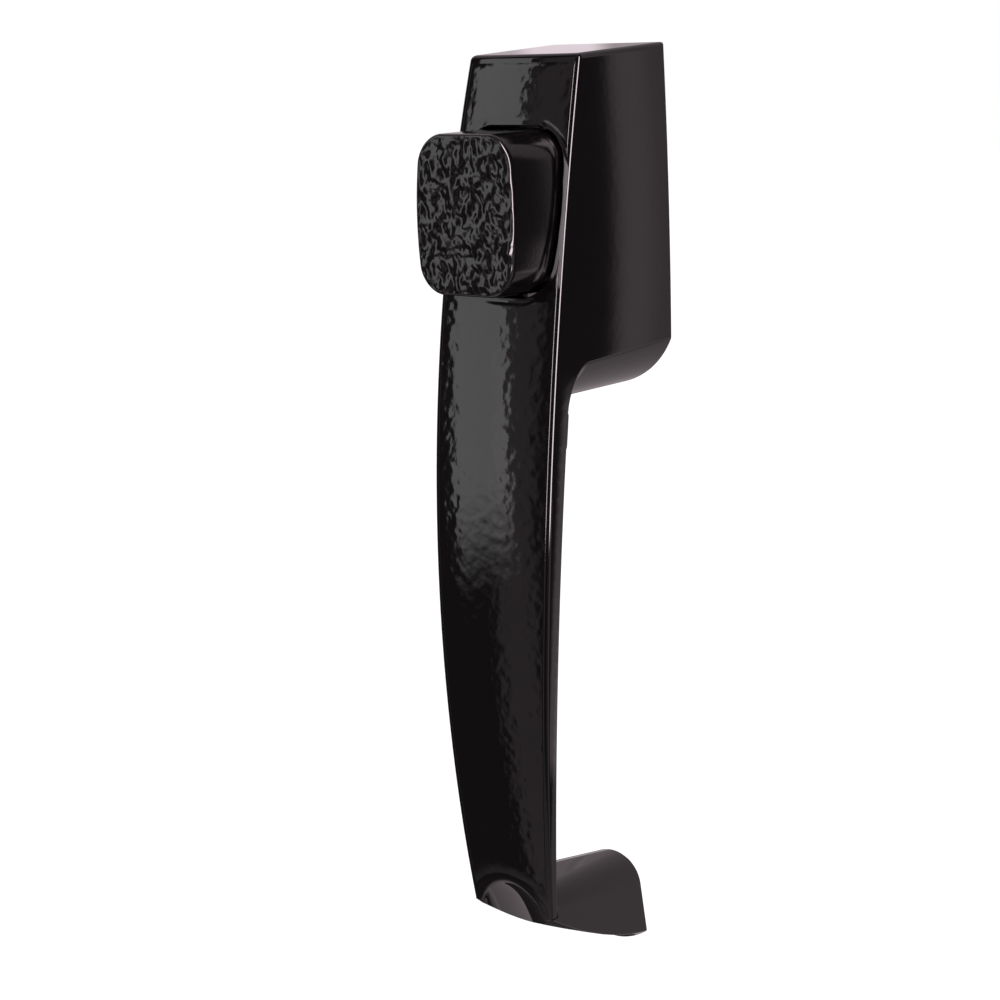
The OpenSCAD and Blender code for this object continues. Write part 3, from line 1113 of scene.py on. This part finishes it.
zinc = makeSurface("brightZincPlate")
steel = makeSurface("drawnSpringSteel")
give(handleCasting, makeSurface("blackBakedEnamel"))
give(grainedPanel, makeSurface("grainedBlackEnamel"))
give(pushButton, makeSurface("leatherGrainEnamel"))
give(returnSpring, steel)
give(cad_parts["retaining_ring"], steel)
for node in ("retainer_plate", "plate_screw_upper", "plate_screw_lower", "adjusting_screw"):
    give(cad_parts[node], zinc)
print("materials given")


# What moves with what

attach(handleCasting, "handle")
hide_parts("handle_body")
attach(grainedPanel, "handle")
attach(pushButton, "button")
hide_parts("push_button")
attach(returnSpring, "handle")
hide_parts("return_spring")
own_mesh(returnSpring)


# Studio: a pale floor far below, a soft light, and a white surround. Its sizes are in metres,
# and its azimuths run from +X towards +Y.

studio = {
    "floorZ": -1.0,
    "floorSize": 40,
    "floorColours": ("#f1f1ef", "#f4f4f3"),
    "floorClouds": (3.0, 3),  # scale and detail
    "floorGlow": 0.45,       # to the camera, which lifts the floor to the white round it
    "surroundLight": 0.75,
    "roomLevel": 0.05,       # what polished surfaces see between the cards
    "roomColour": (1, 0.87, 0.93, 1),
}

softbox = {
    "azimuth": -133.2,
    "distance": 1.0,
    "y": -0.034,
    "z": 0.2,
    "width": 0.26,
    "height": 1.06,
    "lean": 10,              # degrees
    "softEnd": 0.16,         # share of its height over which its lower end fades
    "level": 1.55,           # of white, as a mirror would show it
}

photoCamera = {              # matched to the photograph's outlines
    "lens": 73.114,
    "sensorWidth": 36,
    "nearAndFar": (0.01, 60),
    "place": (0.213554, -0.311159, 0.024923),
    "right": (0.794467, 0.606965, -0.020384),
    "up": (-0.111753, 0.179102, 0.977463),
    "back": (0.596937, -0.774284, 0.210121),
}

# What polished surfaces see round the object, as soft-edged cards. For each: azimuth from
# and to, its softness, elevation from and to, its softness, and the level of white.
cards = {
    "rightOfSoftbox": (-126, -116, 2, -95, 95, 1, 0.3),
    "front": (-104, -80, 4, -95, 95, 1, 0.2),
    "window": (-82, -46, 3, -10.5, 60, 1.5, 20),
    "windowSill": (-60, 5, 3, -95, -10.5, 1.5, 0.6),
    "side": (52.4, 123, 0.22, -95, 95, 1, 0.36),
    "sideEdge": (52.45, 53.5, 0.4, -9, 95, 1, 0.2),
    "lowSide": (50.7, 55.5, 0.5, -24, -9, 0.8, 0.65),
    "back": (124.8, 190, 0.4, -8, 95, 2, 0.55),
    "backLeft": (-190, -162, 4, -35, 95, 3, 0.5),
    "underFront": (-222, -100, 12, -95, -44, 10, 0.85),
    "footTop": (123, 127, 0.4, -8, 13.5, 2, 0.36),
}


def softStep(tree, value, at, softness):
    # Rises from 0 to 1 round a value
    step = addNode(
        tree, "ShaderNodeMapRange",
        {"interpolation_type": "SMOOTHSTEP", 1: at - softness, 2: at + softness}, {0: value})
    return step.outputs[0]


def softBand(tree, value, low, high, softness):
    return calculate(
        tree, "SUBTRACT", softStep(tree, value, low, softness),
        softStep(tree, value, high, softness))


def makeSoftbox():
    # A soft light before the grip, whose lower end fades
    s = softbox
    lamp = bpy.data.lights.new("frontSoftbox", "AREA")
    lamp.shape = "RECTANGLE"
    lamp.size = s["width"]
    lamp.size_y = s["height"]
    lamp.energy = s["level"] * math.pi * lamp.size * lamp.size_y
    lamp.use_nodes = True
    tree = lamp.node_tree
    tree.nodes.clear()
    place = addNode(tree, "ShaderNodeNewGeometry").outputs["Parametric"]
    height = addNode(tree, "ShaderNodeSeparateXYZ", None, {0: place}).outputs["Y"]
    fade = softStep(tree, height, s["softEnd"] / 2, s["softEnd"] / 2)
    glow = addNode(tree, "ShaderNodeEmission", None, {"Strength": fade})
    addNode(tree, "ShaderNodeOutputLight", None, {"Surface": glow.outputs[0]})
    holder = bpy.data.objects.new("frontSoftbox", lamp)
    bpy.context.scene.collection.objects.link(holder)
    angle = math.radians(s["azimuth"])
    away = Vector((s["distance"] * math.cos(angle), s["distance"] * math.sin(angle), 0))
    lean = Quaternion((0, 0, 1), math.radians(s["lean"]))
    holder.rotation_euler = ((-away).to_track_quat("-Z", "Y") @ lean).to_euler()
    holder.location = away + Vector((0, s["y"], s["z"]))


def makeFloor():
    s = studio
    bpy.ops.mesh.primitive_plane_add(size=s["floorSize"], location=(0, 0, s["floorZ"]))
    floor = settle("floor")
    floor.visible_glossy = False
    material, tree, place = newMaterial("palePaintedFloor")
    patches = clouds(tree, place, *s["floorClouds"])
    matt = addNode(
        tree, "ShaderNodeBsdfDiffuse", None,
        {"Color": mixColours(tree, patches, *s["floorColours"])})
    seen = addNode(tree, "ShaderNodeLightPath").outputs["Is Camera Ray"]
    share = calculate(tree, "MULTIPLY", seen, s["floorGlow"])
    glow = addNode(tree, "ShaderNodeEmission", {"Color": (1, 1, 1, 1)}, {"Strength": share})
    both = addNode(tree, "ShaderNodeAddShader", None, {0: matt.outputs[0], 1: glow.outputs[0]})
    addNode(tree, "ShaderNodeOutputMaterial", None, {"Surface": both.outputs[0]})
    give(floor, material)


def makeSurround():
    # White to the camera, and a dim room with bright cards to polished surfaces
    world = bpy.data.worlds.new("surround")
    bpy.context.scene.world = world
    world.use_nodes = True
    world.cycles.sampling_method = "NONE"
    tree = world.node_tree
    tree.nodes.clear()
    way = addNode(tree, "ShaderNodeTexCoord").outputs["Generated"]
    axes = addNode(tree, "ShaderNodeSeparateXYZ", None, {0: way})
    turn = calculate(tree, "ARCTAN2", axes.outputs["Y"], axes.outputs["X"])
    azimuth = calculate(tree, "DEGREES", turn)
    elevation = calculate(tree, "DEGREES", calculate(tree, "ARCSINE", axes.outputs["Z"]))
    level = studio["roomLevel"]
    for start, end, softness, low, high, edge, brightness in cards.values():
        card = calculate(
            tree, "MULTIPLY", softBand(tree, azimuth, start, end, softness),
            softBand(tree, elevation, low, high, edge))
        level = calculate(tree, "MULTIPLY_ADD", card, brightness, level)

    def background(colour, strength, links=None):
        return addNode(
            tree, "ShaderNodeBackground", {"Color": colour, "Strength": strength},
            links).outputs[0]

    def choose(ray, other, own):
        return addNode(
            tree, "ShaderNodeMixShader", None,
            {0: path.outputs[ray], 1: other, 2: own}).outputs[0]

    path = addNode(tree, "ShaderNodeLightPath")
    soft = background((1, 1, 1, 1), studio["surroundLight"])
    room = background(studio["roomColour"], 1.0, {"Strength": level})
    white = background((1, 1, 1, 1), 1.0)
    seen = choose("Is Camera Ray", choose("Is Glossy Ray", soft, room), white)
    addNode(tree, "ShaderNodeOutputWorld", None, {"Surface": seen})


def makeCamera():
    s = photoCamera
    lens = bpy.data.cameras.new("photoCamera")
    lens.lens = s["lens"]
    lens.sensor_width = s["sensorWidth"]
    lens.clip_start, lens.clip_end = s["nearAndFar"]
    camera = bpy.data.objects.new("photoCamera", lens)
    bpy.context.scene.collection.objects.link(camera)
    turn = Matrix((s["right"], s["up"], s["back"])).transposed().to_4x4()
    camera.matrix_world = Matrix.Translation(s["place"]) @ turn
    bpy.context.scene.camera = camera


makeSoftbox()
makeFloor()
makeSurround()
makeCamera()
bpy.context.scene.view_settings.view_transform = "Standard"
print("studio ready")
